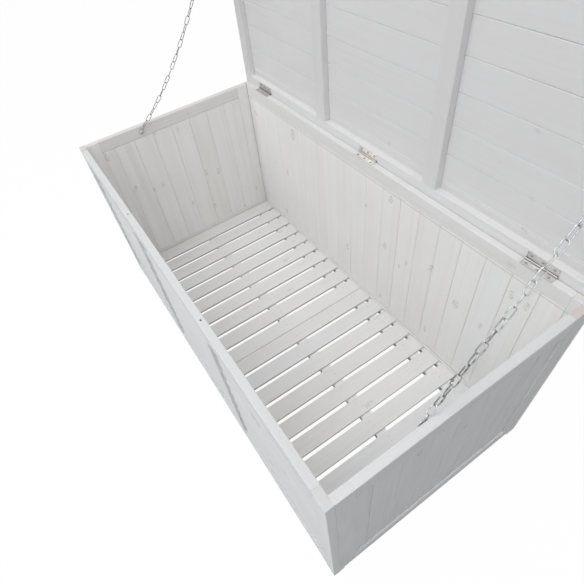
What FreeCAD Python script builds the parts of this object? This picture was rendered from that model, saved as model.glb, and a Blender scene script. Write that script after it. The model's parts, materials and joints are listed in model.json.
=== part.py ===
import FreeCAD, Part
import math
import os

# Wooden cushion storage box with a hinged lid on two chains, shown open.
# Millimetres. X runs along the box, Y from front to back, Z up from the ground.

# Box
LENGTH = 1250.0           # outside, along X
DEPTH = 600.0             # outside, along Y
RIM_HEIGHT = 528.0        # ground to the flush top of the four walls
FOOT_HEIGHT = 14.0
FOOT_SIZE = 30.0          # square corner foot
WALL = 17.0               # frame stock thickness
RAIL = 35.0               # height of the wall rails
CORNER_STILE = 35.0       # width of the front and back corner stiles
END_STILE = 38.0          # width of the stiles in the two end walls
MID_STILE = 40.0          # width of the two inner front stiles

# Tongued boards that fill the back, the ends and the lid
PANEL = 12.0              # board thickness
BOARD_COVER = 64.9        # board pitch in the walls
LEAST_BOARD = 15.0        # a narrower rest is left on the board beside it
REBATE = 8.0              # how far the frame laps over the board ends, outside
PANEL_PLAY = 0.3          # outer boards to the stiles
BOARD_END_PLAY = 0.8      # open joint between board ends and rails
TONGUE = 4.0
TONGUE_THICK = 4.0
TONGUE_PLAY = 0.3
BOARD_CHAMFER = 1.0
BOARD_GAP = 0.5           # open joint between two boards
BACK_FIRST_BOARD = 52.0   # ripped board at the right end of the back
END_FIRST_BOARD = 39.4    # ripped board at the front of each end

# Rebated feather-edge boards in the three front bays
FRONT_COURSES = 10
FRONT_LAP = 10.0          # overlap of one course on the next
FRONT_TOP_EDGE = 3.5      # board thickness at its thin upper edge
FRONT_LAP_PLAY = 0.3

# Slatted floor in two halves
SLAT = 50.5
SLAT_GAP = 11.0           # about; the slats are spread evenly over each half
SLAT_THICK = 7.5
SLAT_END_PLAY = 6.0       # slat ends to the front and back walls
SLAT_WALL_PLAY = 3.7      # last slat to the end wall
FLOOR_SEAM = 0.6
BEARER = 32.0
BEARER_THICK = 16.5
BEARER_INSET = 14.0       # ledger to the outer bearer, along Y
BEARER_END_PLAY = 1.0
LEDGER = 17.0

# Lid
OPEN_ANGLE = 90.0
LID_OVERHANG = 13.5       # past the walls, on all four sides
LID_RAIL = 34.0
LID_RAIL_THICK = 18.0
LID_BATTEN = 40.0
LID_BOARD_COVER = 66.5
LID_FIRST_BOARD = 54.0    # ripped board at the hinge side

# Butt hinges
HINGE_INSET = 114.0       # end of the box to the centre of an outer hinge
HINGE_LENGTH = 70.0
HINGE_KNUCKLES = 3
KNUCKLE_GAP = 0.3
LEAF = 17.5               # pin centre to the edge of the leaf
LEAF_THICK = 1.5
BARREL_RADIUS = 2.5
BARREL_SIDES = 16         # flats that stand for the rolled round of a knuckle
PIN_RADIUS = 1.4
PIN_PLAY = 0.05
HINGE_STANDOFF = 2.6      # pin centre to the wood, on both sides
PIN_INSET = 0.5           # pin centre in front of the back wall's outer face
HINGE_SCREWS = 3
HINGE_SCREW_PITCH = 25.0
HINGE_SCREW_LINE = 10.5   # pin centre to the line of screws
HINGE_SCREW_RADIUS = 1.6
HINGE_SCREW_HEAD = 3.4
HINGE_SCREW_LENGTH = 14.0
SCREW_PLAY = 0.1
FASTENER_SIDES = 8        # flats that stand for the round of a screw, nail or washer

# Chains
CHAIN_PITCH = 21.3
CHAIN_WIRE = 2.4
CHAIN_WIDTH = 9.5         # outside width of a link
CHAIN_LID_INSET = 72.0    # about; lid screw from the front edge of the lid
CHAIN_PLAY = 0.3          # free play where two links hook
LEFT_SLACK = 5.0          # spare length that lets a chain sag
RIGHT_SLACK = 0.3
LEFT_ANCHOR_INSET = 174.0   # wall screw, from the front wall's inner face
RIGHT_ANCHOR_INSET = 188.0
ANCHOR_RADIUS = 1.75
ANCHOR_HEAD = 4.6
ANCHOR_HEAD_THICK = 2.6
WASHER_RADIUS = 8.0
WASHER_THICK = 1.2
WASHER_PLAY = 0.3
ANCHOR_DEPTH = 13.0       # screw length in the wood
CHAIN_SEAT = 1.9          # wood to the middle of the end link at its screw
CHAIN_LIFT = 5.8          # wood to the middle of the chain past the end link
BEND_STEPS = 3            # flats in each half-round end of a link
WIRE_SIDES = 6

# Nails through the front top rail into the inner stiles
NAIL_HEAD = 2.1
NAIL_SHANK = 1.3
NAIL_LENGTH = 60.0
NAIL_SINK = 2.5           # head below the rim

# Derived places
X_OUT = LENGTH / 2
Y_OUT = DEPTH / 2
X_IN = X_OUT - WALL
Y_IN = Y_OUT - WALL
RAIL_TOP = FOOT_HEIGHT + RAIL
RAIL_UNDER = RIM_HEIGHT - RAIL
LIP = WALL - PANEL
THIRD_X = LENGTH / 6      # inner front stiles and lid battens stand on the thirds
SLAT_UNDER = FOOT_HEIGHT + BEARER_THICK
PIN_Y = Y_OUT - PIN_INSET
PIN_Z = RIM_HEIGHT + HINGE_STANDOFF
LID_UNDER = PIN_Z + HINGE_STANDOFF
LID_BOARD_UNDER = LID_UNDER + LID_RAIL_THICK
LID_TOP = LID_BOARD_UNDER + PANEL
LID_X = X_OUT + LID_OVERHANG
LID_Y = Y_OUT + LID_OVERHANG
HINGE_X = X_OUT - HINGE_INSET
HINGE_CENTRES = {"left": -HINGE_X, "middle": 0.0, "right": HINGE_X}
SIDES = {"left": -1, "right": 1}

X_AXIS = FreeCAD.Vector(1, 0, 0)
Z_AXIS = FreeCAD.Vector(0, 0, 1)
PIN_POINT = FreeCAD.Vector(0, PIN_Y, PIN_Z)


def vec(x, y, z):
    return FreeCAD.Vector(x, y, z)


def block(low, high):
    """A square-edged piece between two corners."""
    size = [high[i] - low[i] for i in range(3)]
    return Part.makeBox(size[0], size[1], size[2], vec(*low))


def prism(points, direction):
    """A flat outline pushed along a direction."""
    return Part.Face(Part.makePolygon(points + [points[0]])).extrude(direction)


def rod(radius, length, start, direction):
    return Part.makeCylinder(radius, length, start, direction)


def polygon_ring(radius, place, direction, sides):
    """Corners of a flat-sided round about a direction."""
    side = Z_AXIS if abs(direction.x) > 0.5 else X_AXIS
    other = direction.cross(side)
    turns = [2 * math.pi * n / sides for n in range(sides)]
    return [place + (side * math.cos(a) + other * math.sin(a)) * radius for a in turns]


def taper(radius, end_radius, length, start, direction, sides=FASTENER_SIDES):
    """A flat-sided cone for screw heads and their seats."""
    low = polygon_ring(radius, start, direction, sides)
    high = polygon_ring(end_radius, start + direction * length, direction, sides)
    outlines = [low[::-1], high]
    for n in range(sides):
        after = (n + 1) % sides
        outlines.append([low[n], low[after], high[after], high[n]])
    faces = [Part.Face(Part.makePolygon(points + points[:1])) for points in outlines]
    return Part.Solid(Part.Shell(faces))


def shank(radius, length, start, direction, sides=FASTENER_SIDES):
    """A flat-sided rod for fasteners and the holes they sit in."""
    return prism(polygon_ring(radius, start, direction, sides), direction * length)


def joined(first, *others):
    return first.fuse(list(others)).removeSplitter()


def mirrored(shape):
    return shape.mirror(vec(0, 0, 0), X_AXIS)


def opened(shape):
    """Swing a lid piece from closed to its open place about the hinge pins."""
    return shape.rotated(PIN_POINT, X_AXIS, -OPEN_ANGLE)


def board_widths(total, first, cover):
    """Widths of boards across a panel, with a ripped board at each end."""
    widths = [first]
    while total - sum(widths) >= cover:
        widths.append(cover)
    rest = total - sum(widths)
    if rest >= LEAST_BOARD:
        widths.append(rest)
    else:
        widths[-1] += rest
    return widths


def board_profile(width, has_groove, has_tongue):
    """Section of a tongued board: (across, through) from its grooved edge."""
    edge = width - BOARD_GAP if has_tongue else width
    low = (PANEL - TONGUE_THICK) / 2
    high = low + TONGUE_THICK
    tip = edge + TONGUE
    if has_tongue:
        points = [(edge - BOARD_CHAMFER, 0), (edge, BOARD_CHAMFER)]
        points += [(edge, low), (tip, low), (tip, high), (edge, high)]
        points += [(edge, PANEL - BOARD_CHAMFER), (edge - BOARD_CHAMFER, PANEL)]
    else:
        points = [(edge, 0), (edge, PANEL)]
    if has_groove:
        deep = TONGUE + TONGUE_PLAY
        points += [(BOARD_CHAMFER, PANEL), (0, PANEL - BOARD_CHAMFER)]
        points += [(0, high + TONGUE_PLAY), (deep, high + TONGUE_PLAY)]
        points += [(deep, low - TONGUE_PLAY), (0, low - TONGUE_PLAY)]
        points += [(0, BOARD_CHAMFER), (BOARD_CHAMFER, 0)]
    else:
        points += [(0, PANEL), (0, 0)]
    return points


def board_panel(total, first, cover, place, along):
    """A run of tongued boards; place maps (across, through) to a point."""
    widths = board_widths(total, first, cover)
    solids = []
    start = 0.0
    for number, width in enumerate(widths):
        profile = board_profile(width, number > 0, number < len(widths) - 1)
        points = [place(start + across, through) for across, through in profile]
        solids.append(prism(points, along))
        start += width
    return solids


def rim_screw_holes(shape, x_places, radius, length):
    """Bore the hinge screw holes down into the back rail."""
    y = PIN_Y - HINGE_SCREW_LINE
    for x in x_places:
        shape = shape.cut(shank(radius, length, vec(x, y, RIM_HEIGHT), -Z_AXIS))
    return shape


def hinge_screw_places():
    """X of every hinge screw along the back rail."""
    middle = (HINGE_SCREWS - 1) / 2
    places = []
    for centre in HINGE_CENTRES.values():
        places += [centre + (n - middle) * HINGE_SCREW_PITCH for n in range(HINGE_SCREWS)]
    return places


def front_wall(parts):
    """Plain frame with two inner stiles and three bays of lapped boards."""
    inner = X_OUT - CORNER_STILE
    half_mid = MID_STILE / 2
    corner = block((inner, -Y_OUT, FOOT_HEIGHT), (X_OUT, -Y_IN, RIM_HEIGHT))
    parts["front_stile_right"] = [corner]
    parts["front_stile_left"] = [mirrored(corner)]
    top = block((-inner, -Y_OUT, RAIL_UNDER), (inner, -Y_IN, RIM_HEIGHT))
    parts["front_bottom_rail"] = [block((-inner, -Y_OUT, FOOT_HEIGHT), (inner, -Y_IN, RAIL_TOP))]
    nails = []
    for side, sign in SIDES.items():
        centre = sign * THIRD_X
        low = (centre - half_mid, -Y_OUT, RAIL_TOP)
        stile = block(low, (centre + half_mid, -Y_IN, RAIL_UNDER))
        nail_top = vec(centre, -Y_OUT + WALL / 2, RIM_HEIGHT)
        nail, hole = rail_nail(nail_top)
        top = top.cut(hole)
        parts["front_mid_stile_" + side] = [stile.cut(hole)]
        nails.append(nail)
    parts["front_top_rail"] = [top]
    parts["front_rail_nails"] = nails
    bays = {
        "left": (-inner, -THIRD_X - half_mid),
        "middle": (-THIRD_X + half_mid, THIRD_X - half_mid),
        "right": (THIRD_X + half_mid, inner),
    }
    for bay, (low_x, high_x) in bays.items():
        parts["front_boards_" + bay] = lapped_boards(low_x, high_x)


def rail_nail(top):
    """A round-head nail sunk in the rim, with the hole it sits in."""
    seat = top - Z_AXIS * 2 * NAIL_SINK
    point = top - Z_AXIS * (NAIL_SINK + NAIL_LENGTH)
    head = shank(NAIL_HEAD, NAIL_SINK, seat, Z_AXIS)
    stem = shank(NAIL_SHANK, NAIL_LENGTH, point, Z_AXIS)
    sink = shank(NAIL_HEAD + SCREW_PLAY, 2 * NAIL_SINK, seat, Z_AXIS)
    bore = shank(NAIL_SHANK + SCREW_PLAY, NAIL_LENGTH, point, Z_AXIS)
    return joined(head, stem), joined(sink, bore)


def lapped_boards(low_x, high_x):
    """Courses of rebated feather-edge board, thin edge up, lip outward."""
    course = (RAIL_UNDER - RAIL_TOP) / FRONT_COURSES
    slope = (PANEL - FRONT_TOP_EDGE) / (course + FRONT_LAP)
    outer = -Y_OUT + LIP
    lip_back = outer + slope * course - FRONT_LAP_PLAY
    solids = []
    for number in range(FRONT_COURSES):
        low = RAIL_TOP + number * course
        lap = FRONT_LAP if number < FRONT_COURSES - 1 else 0.0
        high = low + course + lap
        face_top = outer + slope * (course + lap)
        outline = [(outer, low), (face_top, high), (-Y_IN, high)]
        if number > 0:
            step = low + FRONT_LAP + FRONT_LAP_PLAY
            outline += [(-Y_IN, step), (lip_back, step), (lip_back, low)]
        else:
            outline += [(-Y_IN, low)]
        points = [vec(low_x, y, z) for y, z in outline]
        solids.append(prism(points, X_AXIS * (high_x - low_x)))
    return solids


def back_wall(parts):
    """Rebated frame with upright tongued boards, flush on the inside."""
    inner = X_OUT - CORNER_STILE
    lip_y = Y_OUT - LIP
    top = joined(
        block((-inner, Y_IN, RAIL_UNDER), (inner, Y_OUT, RIM_HEIGHT)),
        block((-inner, lip_y, RAIL_UNDER - REBATE), (inner, Y_OUT, RAIL_UNDER)),
    )
    hole = HINGE_SCREW_RADIUS + SCREW_PLAY
    parts["back_top_rail"] = [rim_screw_holes(top, hinge_screw_places(), hole, HINGE_SCREW_LENGTH)]
    parts["back_bottom_rail"] = [joined(
        block((-inner, Y_IN, FOOT_HEIGHT), (inner, Y_OUT, RAIL_TOP)),
        block((-inner, lip_y, RAIL_TOP), (inner, Y_OUT, RAIL_TOP + REBATE)),
    )]
    stile = joined(
        block((inner, Y_IN, FOOT_HEIGHT), (X_OUT, Y_OUT, RIM_HEIGHT)),
        block((inner - REBATE, lip_y, RAIL_TOP + REBATE), (inner, Y_OUT, RAIL_UNDER - REBATE)),
    )
    parts["back_stile_right"] = [stile]
    parts["back_stile_left"] = [mirrored(stile)]
    low_z = RAIL_TOP + BOARD_END_PLAY
    right = inner - PANEL_PLAY
    parts["back_boards"] = board_panel(
        2 * right, BACK_FIRST_BOARD, BOARD_COVER,
        lambda across, through: vec(right - across, Y_IN + through, low_z),
        Z_AXIS * (RAIL_UNDER - BOARD_END_PLAY - low_z),
    )


def end_walls(parts):
    """Two rebated end frames that fit between the front and back walls."""
    reach = Y_IN - END_STILE
    lip_x = X_OUT - LIP
    low_z = RAIL_TOP + BOARD_END_PLAY
    front = -reach + PANEL_PLAY
    rail_top = joined(
        block((X_IN, -reach, RAIL_UNDER), (X_OUT, reach, RIM_HEIGHT)),
        block((lip_x, -reach, RAIL_UNDER - REBATE), (X_OUT, reach, RAIL_UNDER)),
    )
    rail_bottom = joined(
        block((X_IN, -reach, FOOT_HEIGHT), (X_OUT, reach, RAIL_TOP)),
        block((lip_x, -reach, RAIL_TOP), (X_OUT, reach, RAIL_TOP + REBATE)),
    )
    stile = joined(
        block((X_IN, reach, FOOT_HEIGHT), (X_OUT, Y_IN, RIM_HEIGHT)),
        block((lip_x, reach - REBATE, RAIL_TOP + REBATE), (X_OUT, reach, RAIL_UNDER - REBATE)),
    )
    boards = board_panel(
        2 * reach - 2 * PANEL_PLAY, END_FIRST_BOARD, BOARD_COVER,
        lambda across, through: vec(X_IN + through, front + across, low_z),
        Z_AXIS * (RAIL_UNDER - BOARD_END_PLAY - low_z),
    )
    pieces = {
        "top_rail": [rail_top],
        "bottom_rail": [rail_bottom],
        "stile_back": [stile],
        "stile_front": [stile.mirror(vec(0, 0, 0), vec(0, 1, 0))],
        "boards": boards,
    }
    for name, solids in pieces.items():
        parts["right_end_" + name] = solids
        parts["left_end_" + name] = [mirrored(solid) for solid in solids]
    for side, sign in SIDES.items():
        rail = parts[side + "_end_top_rail"][0]
        parts[side + "_end_top_rail"] = [rail.cut(anchor_bore(wall_anchor(sign), sign))]


def floor(parts):
    """Two slatted halves on bearers, carried by ledgers on the walls."""
    reach = Y_IN - SLAT_END_PLAY
    start = FLOOR_SEAM / 2
    half = X_IN - SLAT_WALL_PLAY - start
    count = round((half + SLAT_GAP) / (SLAT + SLAT_GAP))
    pitch = (half - SLAT) / (count - 1)
    slats = []
    for number in range(count):
        low = start + number * pitch
        slats.append(block((low, -reach, SLAT_UNDER), (low + SLAT, reach, SLAT_UNDER + SLAT_THICK)))
    far = X_IN - LEDGER - BEARER_END_PLAY
    bearers = []
    outer = Y_IN - LEDGER - BEARER_INSET - BEARER / 2
    for y in (-outer, 0.0, outer):
        low = (start, y - BEARER / 2, FOOT_HEIGHT)
        bearers.append(block(low, (far, y + BEARER / 2, SLAT_UNDER)))
    parts["floor_slats_right"] = slats
    parts["floor_slats_left"] = [mirrored(slat) for slat in slats]
    parts["floor_bearers_right"] = bearers
    parts["floor_bearers_left"] = [mirrored(bearer) for bearer in bearers]
    inner_y = Y_IN - LEDGER
    long = block((-X_IN, inner_y, FOOT_HEIGHT), (X_IN, Y_IN, SLAT_UNDER))
    short = block((X_IN - LEDGER, -inner_y, FOOT_HEIGHT), (X_IN, inner_y, SLAT_UNDER))
    parts["ledger_back"] = [long]
    parts["ledger_front"] = [long.mirror(vec(0, 0, 0), vec(0, 1, 0))]
    parts["ledger_right"] = [short]
    parts["ledger_left"] = [mirrored(short)]


def feet(parts):
    foot = block((X_OUT - FOOT_SIZE, Y_OUT - FOOT_SIZE, 0), (X_OUT, Y_OUT, FOOT_HEIGHT))
    front = foot.mirror(vec(0, 0, 0), vec(0, 1, 0))
    parts["foot_back_right"] = [foot]
    parts["foot_back_left"] = [mirrored(foot)]
    parts["foot_front_right"] = [front]
    parts["foot_front_left"] = [mirrored(front)]


def lid(parts):
    """Rail frame with two cross battens under boards that run lengthways."""
    inner_y = LID_Y - LID_RAIL
    inner_x = LID_X - LID_RAIL
    rear = block((-LID_X, inner_y, LID_UNDER), (LID_X, LID_Y, LID_BOARD_UNDER))
    front = rear.mirror(vec(0, 0, 0), vec(0, 1, 0))
    end = block((inner_x, -inner_y, LID_UNDER), (LID_X, inner_y, LID_BOARD_UNDER))
    y = PIN_Y - HINGE_SCREW_LINE
    for x in hinge_screw_places():
        hole = HINGE_SCREW_RADIUS + SCREW_PLAY
        rear = rear.cut(shank(hole, HINGE_SCREW_LENGTH, vec(x, y, LID_UNDER), Z_AXIS))
    parts["lid_rear_rail"] = [opened(rear)]
    parts["lid_front_rail"] = [opened(front)]
    for side, sign in SIDES.items():
        rail = end if sign > 0 else mirrored(end)
        rail = opened(rail).cut(anchor_bore(lid_anchor(side, sign), sign))
        parts["lid_end_rail_" + side] = [rail]
        centre = sign * THIRD_X
        low = (centre - LID_BATTEN / 2, -inner_y, LID_UNDER)
        batten = block(low, (centre + LID_BATTEN / 2, inner_y, LID_BOARD_UNDER))
        parts["lid_batten_" + side] = [opened(batten)]
    boards = board_panel(
        2 * LID_Y, LID_FIRST_BOARD, LID_BOARD_COVER,
        lambda across, through: vec(-LID_X, LID_Y - across, LID_BOARD_UNDER + through),
        X_AXIS * (2 * LID_X),
    )
    parts["lid_boards"] = [opened(board) for board in boards]


def leaf(centre, knuckles, screw_x):
    """One hinge leaf lying on the rim: plate, its knuckles and screw holes."""
    knuckle = HINGE_LENGTH / HINGE_KNUCKLES
    under = PIN_Z - HINGE_STANDOFF
    clear = BARREL_RADIUS + KNUCKLE_GAP
    start = centre - HINGE_LENGTH / 2
    top = under + LEAF_THICK
    shape = block((start, PIN_Y - LEAF, under), (start + HINGE_LENGTH, PIN_Y - clear, top))
    rolled = []
    for number in knuckles:
        low = start + number * knuckle + (KNUCKLE_GAP / 2 if number > 0 else 0)
        last = number == HINGE_KNUCKLES - 1
        high = start + (number + 1) * knuckle - (0 if last else KNUCKLE_GAP / 2)
        rolled.append(block((low, PIN_Y - clear, under), (high, PIN_Y, top)))
        rolled.append(shank(BARREL_RADIUS, high - low, vec(low, PIN_Y, PIN_Z), X_AXIS, BARREL_SIDES))
    shape = joined(shape, *rolled)
    bore = (PIN_RADIUS + PIN_PLAY) / math.cos(math.pi / BARREL_SIDES)
    shape = shape.cut(shank(bore, HINGE_LENGTH, vec(start, PIN_Y, PIN_Z), X_AXIS, BARREL_SIDES))
    for x in screw_x:
        shape = shape.cut(screw_cone(x, SCREW_PLAY))
    return shape


def screw_cone(x, play):
    """Countersunk head in the plane of a leaf that lies on the rim."""
    seat = vec(x, PIN_Y - HINGE_SCREW_LINE, RIM_HEIGHT)
    return taper(HINGE_SCREW_RADIUS + play, HINGE_SCREW_HEAD + play, LEAF_THICK, seat, Z_AXIS)


def hinges(parts):
    """Three butt hinges: wall leaf, lid leaf and pin, with wood screws."""
    wall_screws = []
    lid_screws = []
    flip = 180.0
    for name, centre in HINGE_CENTRES.items():
        middle = (HINGE_SCREWS - 1) / 2
        screw_x = [centre + (n - middle) * HINGE_SCREW_PITCH for n in range(HINGE_SCREWS)]
        wall_leaf = leaf(centre, range(0, HINGE_KNUCKLES, 2), screw_x)
        lid_leaf = leaf(centre, range(1, HINGE_KNUCKLES, 2), screw_x)
        lid_leaf = face_down(lid_leaf, centre, flip)
        parts["hinge_%s_wall_leaf" % name] = [wall_leaf]
        parts["hinge_%s_lid_leaf" % name] = [opened(lid_leaf)]
        pin_start = vec(centre - HINGE_LENGTH / 2, PIN_Y, PIN_Z)
        parts["hinge_%s_pin" % name] = [rod(PIN_RADIUS, HINGE_LENGTH, pin_start, X_AXIS)]
        for x in screw_x:
            seat = vec(x, PIN_Y - HINGE_SCREW_LINE, RIM_HEIGHT)
            stem = shank(HINGE_SCREW_RADIUS, HINGE_SCREW_LENGTH, seat, -Z_AXIS)
            screw = joined(screw_cone(x, 0.0), stem)
            wall_screws.append(screw)
            lid_screws.append(opened(face_down(screw, centre, flip)))
    parts["hinge_wall_screws"] = wall_screws
    parts["hinge_lid_screws"] = lid_screws


def face_down(shape, centre, angle):
    """Turn a rim-side hinge piece over onto the closed lid above it."""
    turned = shape.rotated(vec(centre, PIN_Y, PIN_Z), X_AXIS, angle)
    return turned.mirror(vec(0, PIN_Y, 0), vec(0, 1, 0))


def wall_anchor(sign):
    """Point on the end wall where a chain is screwed on."""
    inset = LEFT_ANCHOR_INSET if sign < 0 else RIGHT_ANCHOR_INSET
    return vec(sign * X_IN, inset - Y_IN, RIM_HEIGHT - RAIL / 2)


def lid_point(sign, reach, lift):
    """Point off the inner side of a lid end rail, at a reach from the pins."""
    x = sign * (LID_X - LID_RAIL - lift)
    closed = vec(x, PIN_Y - reach, LID_UNDER + LID_RAIL_THICK / 2)
    turn = FreeCAD.Rotation(X_AXIS, -OPEN_ANGLE)
    return PIN_POINT + turn.multVec(closed - PIN_POINT)


def chain_ends(sign, reach):
    """Joints of a chain's two end links: screw, free end, free end, screw."""
    first = wall_anchor(sign) - X_AXIS * sign * CHAIN_SEAT
    last = lid_point(sign, reach, CHAIN_SEAT)
    span = (last - first).normalize()
    span = vec(0, span.y, span.z).normalize()
    rise = CHAIN_LIFT - CHAIN_SEAT
    run = math.sqrt(CHAIN_PITCH ** 2 - rise ** 2)
    inward = X_AXIS * (-sign * rise)
    start = first - span * (ANCHOR_RADIUS + CHAIN_PLAY)
    end = last + span * (ANCHOR_RADIUS + CHAIN_PLAY)
    return start, start + span * run + inward, end - span * run + inward, end


def chain_links():
    """An odd count of links, so that both end links lie flat on the wood."""
    _, near, far, _ = chain_ends(1, PIN_Y + LID_Y - CHAIN_LID_INSET)
    return 2 * round((far - near).Length / CHAIN_PITCH / 2 + 0.5) + 1


def chain_reach(side, sign):
    """Reach from the hinge pins at which the chain's length is used up."""
    slack = LEFT_SLACK if side == "left" else RIGHT_SLACK
    target = (chain_links() - 2) * CHAIN_PITCH - slack
    low = LID_RAIL
    high = 2 * DEPTH
    for _ in range(60):
        middle = (low + high) / 2
        _, near, far, _ = chain_ends(sign, middle)
        if (far - near).Length < target:
            low = middle
        else:
            high = middle
    return low


def lid_anchor(side, sign):
    """Point on the lid's end rail where a chain is screwed on."""
    return lid_point(sign, chain_reach(side, sign), 0.0)


def anchor_bore(point, sign):
    return shank(ANCHOR_RADIUS + SCREW_PLAY, ANCHOR_DEPTH, point, X_AXIS * sign)


def hang(near, far, links):
    """Joints of evenly long links along a shallow sag between two points."""
    def curve(t, sag):
        return near + (far - near) * t - Z_AXIS * (4 * sag * t * (1 - t))

    def walk(sag):
        joints = [near]
        t = 0.0
        for _ in range(links):
            low = t
            high = t + 2.0 / links
            for _ in range(40):
                middle = (low + high) / 2
                if (curve(middle, sag) - joints[-1]).Length < CHAIN_PITCH:
                    low = middle
                else:
                    high = middle
            t = low
            joints.append(curve(t, sag))
        return joints, t

    flat = 0.0
    deep = (far - near).Length / 2
    for _ in range(40):
        sag = (flat + deep) / 2
        joints, end = walk(sag)
        if end > 1.0:
            flat = sag
        else:
            deep = sag
    return joints


def link(start, end, flat):
    """A welded link from joint to joint; a flat one lies along the wood."""
    axis = (end - start).normalize()
    if flat:
        across = axis.cross(X_AXIS).normalize()
    else:
        across = (X_AXIS - axis * axis.dot(X_AXIS)).normalize()
    normal = axis.cross(across)
    centre = (start + end) * 0.5
    bend = (CHAIN_WIDTH - CHAIN_WIRE) / 2
    straight = (CHAIN_PITCH + CHAIN_PLAY + CHAIN_WIRE) / 2 - bend
    rings = []
    for turn in range(2):
        for step in range(BEND_STEPS + 1):
            angle = math.pi * (turn + step / BEND_STEPS) - math.pi / 2
            outward = axis * math.cos(angle) + across * math.sin(angle)
            hub = centre + axis * (straight if turn == 0 else -straight) + outward * bend
            rings.append(wire_ring(hub, outward, normal))
    faces = []
    for number, ring in enumerate(rings):
        following = rings[(number + 1) % len(rings)]
        for side in range(WIRE_SIDES):
            other = (side + 1) % WIRE_SIDES
            corners = [ring[side], ring[other], following[other], following[side]]
            faces.append(Part.Face(Part.makePolygon(corners + [corners[0]])))
    return Part.Solid(Part.Shell(faces))


def wire_ring(hub, outward, normal):
    """Corners of the wire's section at one place on a link."""
    radius = CHAIN_WIRE / 2
    ring = []
    for side in range(WIRE_SIDES):
        angle = 2 * math.pi * side / WIRE_SIDES
        ring.append(hub + outward * radius * math.cos(angle) + normal * radius * math.sin(angle))
    return ring


def anchor_fixing(point, sign):
    """Round-head screw and washer that hold an end link on the wood."""
    inward = X_AXIS * -sign
    under = CHAIN_SEAT + link_rise(WASHER_RADIUS) + CHAIN_WIRE / 2 + WASHER_PLAY
    face = point + inward * under
    ring = shank(WASHER_RADIUS, WASHER_THICK, face, inward)
    washer = ring.cut(shank(ANCHOR_RADIUS + SCREW_PLAY, WASHER_THICK, face, inward))
    seat = face + inward * WASHER_THICK
    stem = shank(ANCHOR_RADIUS, ANCHOR_DEPTH + under + WASHER_THICK, seat, -inward)
    return [joined(shank(ANCHOR_HEAD, ANCHOR_HEAD_THICK, seat, inward), stem), washer]


def link_rise(run):
    """How far an end link has left the wood at a distance from its screw."""
    rise = CHAIN_LIFT - CHAIN_SEAT
    return run * rise / math.sqrt(CHAIN_PITCH ** 2 - rise ** 2)


def chains(parts):
    """Two chains from the end walls to the lid, and what screws them on."""
    wall_fixings = []
    lid_fixings = []
    for side, sign in SIDES.items():
        start, near, far, end = chain_ends(sign, chain_reach(side, sign))
        count = chain_links()
        joints = [start] + hang(near, far, count - 2)[:-1] + [far, end]
        links = []
        for number in range(count):
            links.append(link(joints[number], joints[number + 1], number % 2 == 0))
        parts["chain_" + side] = links
        wall_fixings += anchor_fixing(wall_anchor(sign), sign)
        lid_fixings += anchor_fixing(lid_anchor(side, sign), sign)
    parts["chain_wall_fixings"] = wall_fixings
    parts["chain_lid_fixings"] = lid_fixings


def main():
    parts = {}
    front_wall(parts)
    back_wall(parts)
    end_walls(parts)
    floor(parts)
    feet(parts)
    lid(parts)
    hinges(parts)
    chains(parts)
    # The open lid stands behind the box, so the whole is centred on Y here.
    back = max(solid.BoundBox.YMax for solids in parts.values() for solid in solids)
    shift = vec(0, (Y_OUT - back) / 2, 0)
    os.makedirs("parts", exist_ok=True)
    for name, solids in parts.items():
        group = Part.makeCompound([solid.translated(shift) for solid in solids])
        shape = group if len(solids) > 1 else group.Solids[0]
        shape.exportStep("parts/%s.step" % name)
    print("nodes", len(parts), "solids", sum(len(s) for s in parts.values()))
    print("pin at y %.3f z %.3f, shift %.3f" % (PIN_Y + shift.y, PIN_Z, shift.y))
    print("links", chain_links(), "lid screws at", chain_reach("left", -1), chain_reach("right", 1))


main()
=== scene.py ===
import itertools
import json
import math
import random

import bmesh
import bpy
import numpy as np
from mathutils import Matrix, Vector


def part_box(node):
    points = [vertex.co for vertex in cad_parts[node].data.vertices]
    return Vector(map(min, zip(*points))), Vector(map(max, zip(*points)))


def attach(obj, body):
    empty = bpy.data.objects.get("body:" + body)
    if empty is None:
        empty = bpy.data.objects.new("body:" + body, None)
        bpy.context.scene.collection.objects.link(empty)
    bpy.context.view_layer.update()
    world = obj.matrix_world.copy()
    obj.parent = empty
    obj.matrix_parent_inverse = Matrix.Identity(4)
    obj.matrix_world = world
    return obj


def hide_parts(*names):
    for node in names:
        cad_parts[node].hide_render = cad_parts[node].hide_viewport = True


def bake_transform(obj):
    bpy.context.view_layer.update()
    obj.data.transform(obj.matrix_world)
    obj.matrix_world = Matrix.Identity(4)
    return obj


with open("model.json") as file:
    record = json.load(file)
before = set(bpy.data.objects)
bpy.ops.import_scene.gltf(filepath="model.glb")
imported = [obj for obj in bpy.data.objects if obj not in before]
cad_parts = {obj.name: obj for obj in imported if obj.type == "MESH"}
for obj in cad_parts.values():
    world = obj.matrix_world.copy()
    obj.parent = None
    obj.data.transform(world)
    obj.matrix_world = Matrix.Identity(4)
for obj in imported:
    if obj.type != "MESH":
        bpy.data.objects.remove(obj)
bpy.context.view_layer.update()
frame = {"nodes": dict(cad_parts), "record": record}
NODES = frame["nodes"]
LID_NODES = set(frame["record"]["behaviour"]["bodies"]["lid"])
HINGE = frame["record"]["behaviour"]["joints"][0]["pos_m"]

# Camera, fitted to the picture of 584 by 584
IMAGE_SIZE = 584
SENSOR = 36.0
FOCAL_PIXELS = 445.911
CENTRE_PIXELS = (286.545, 293.531)
CAMERA_PLACE = (0.77588, -0.39470, 1.19857)
CAMERA_TURN, CAMERA_DIP, CAMERA_ROLL = -1.1121, 0.8586, -0.1622

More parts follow.
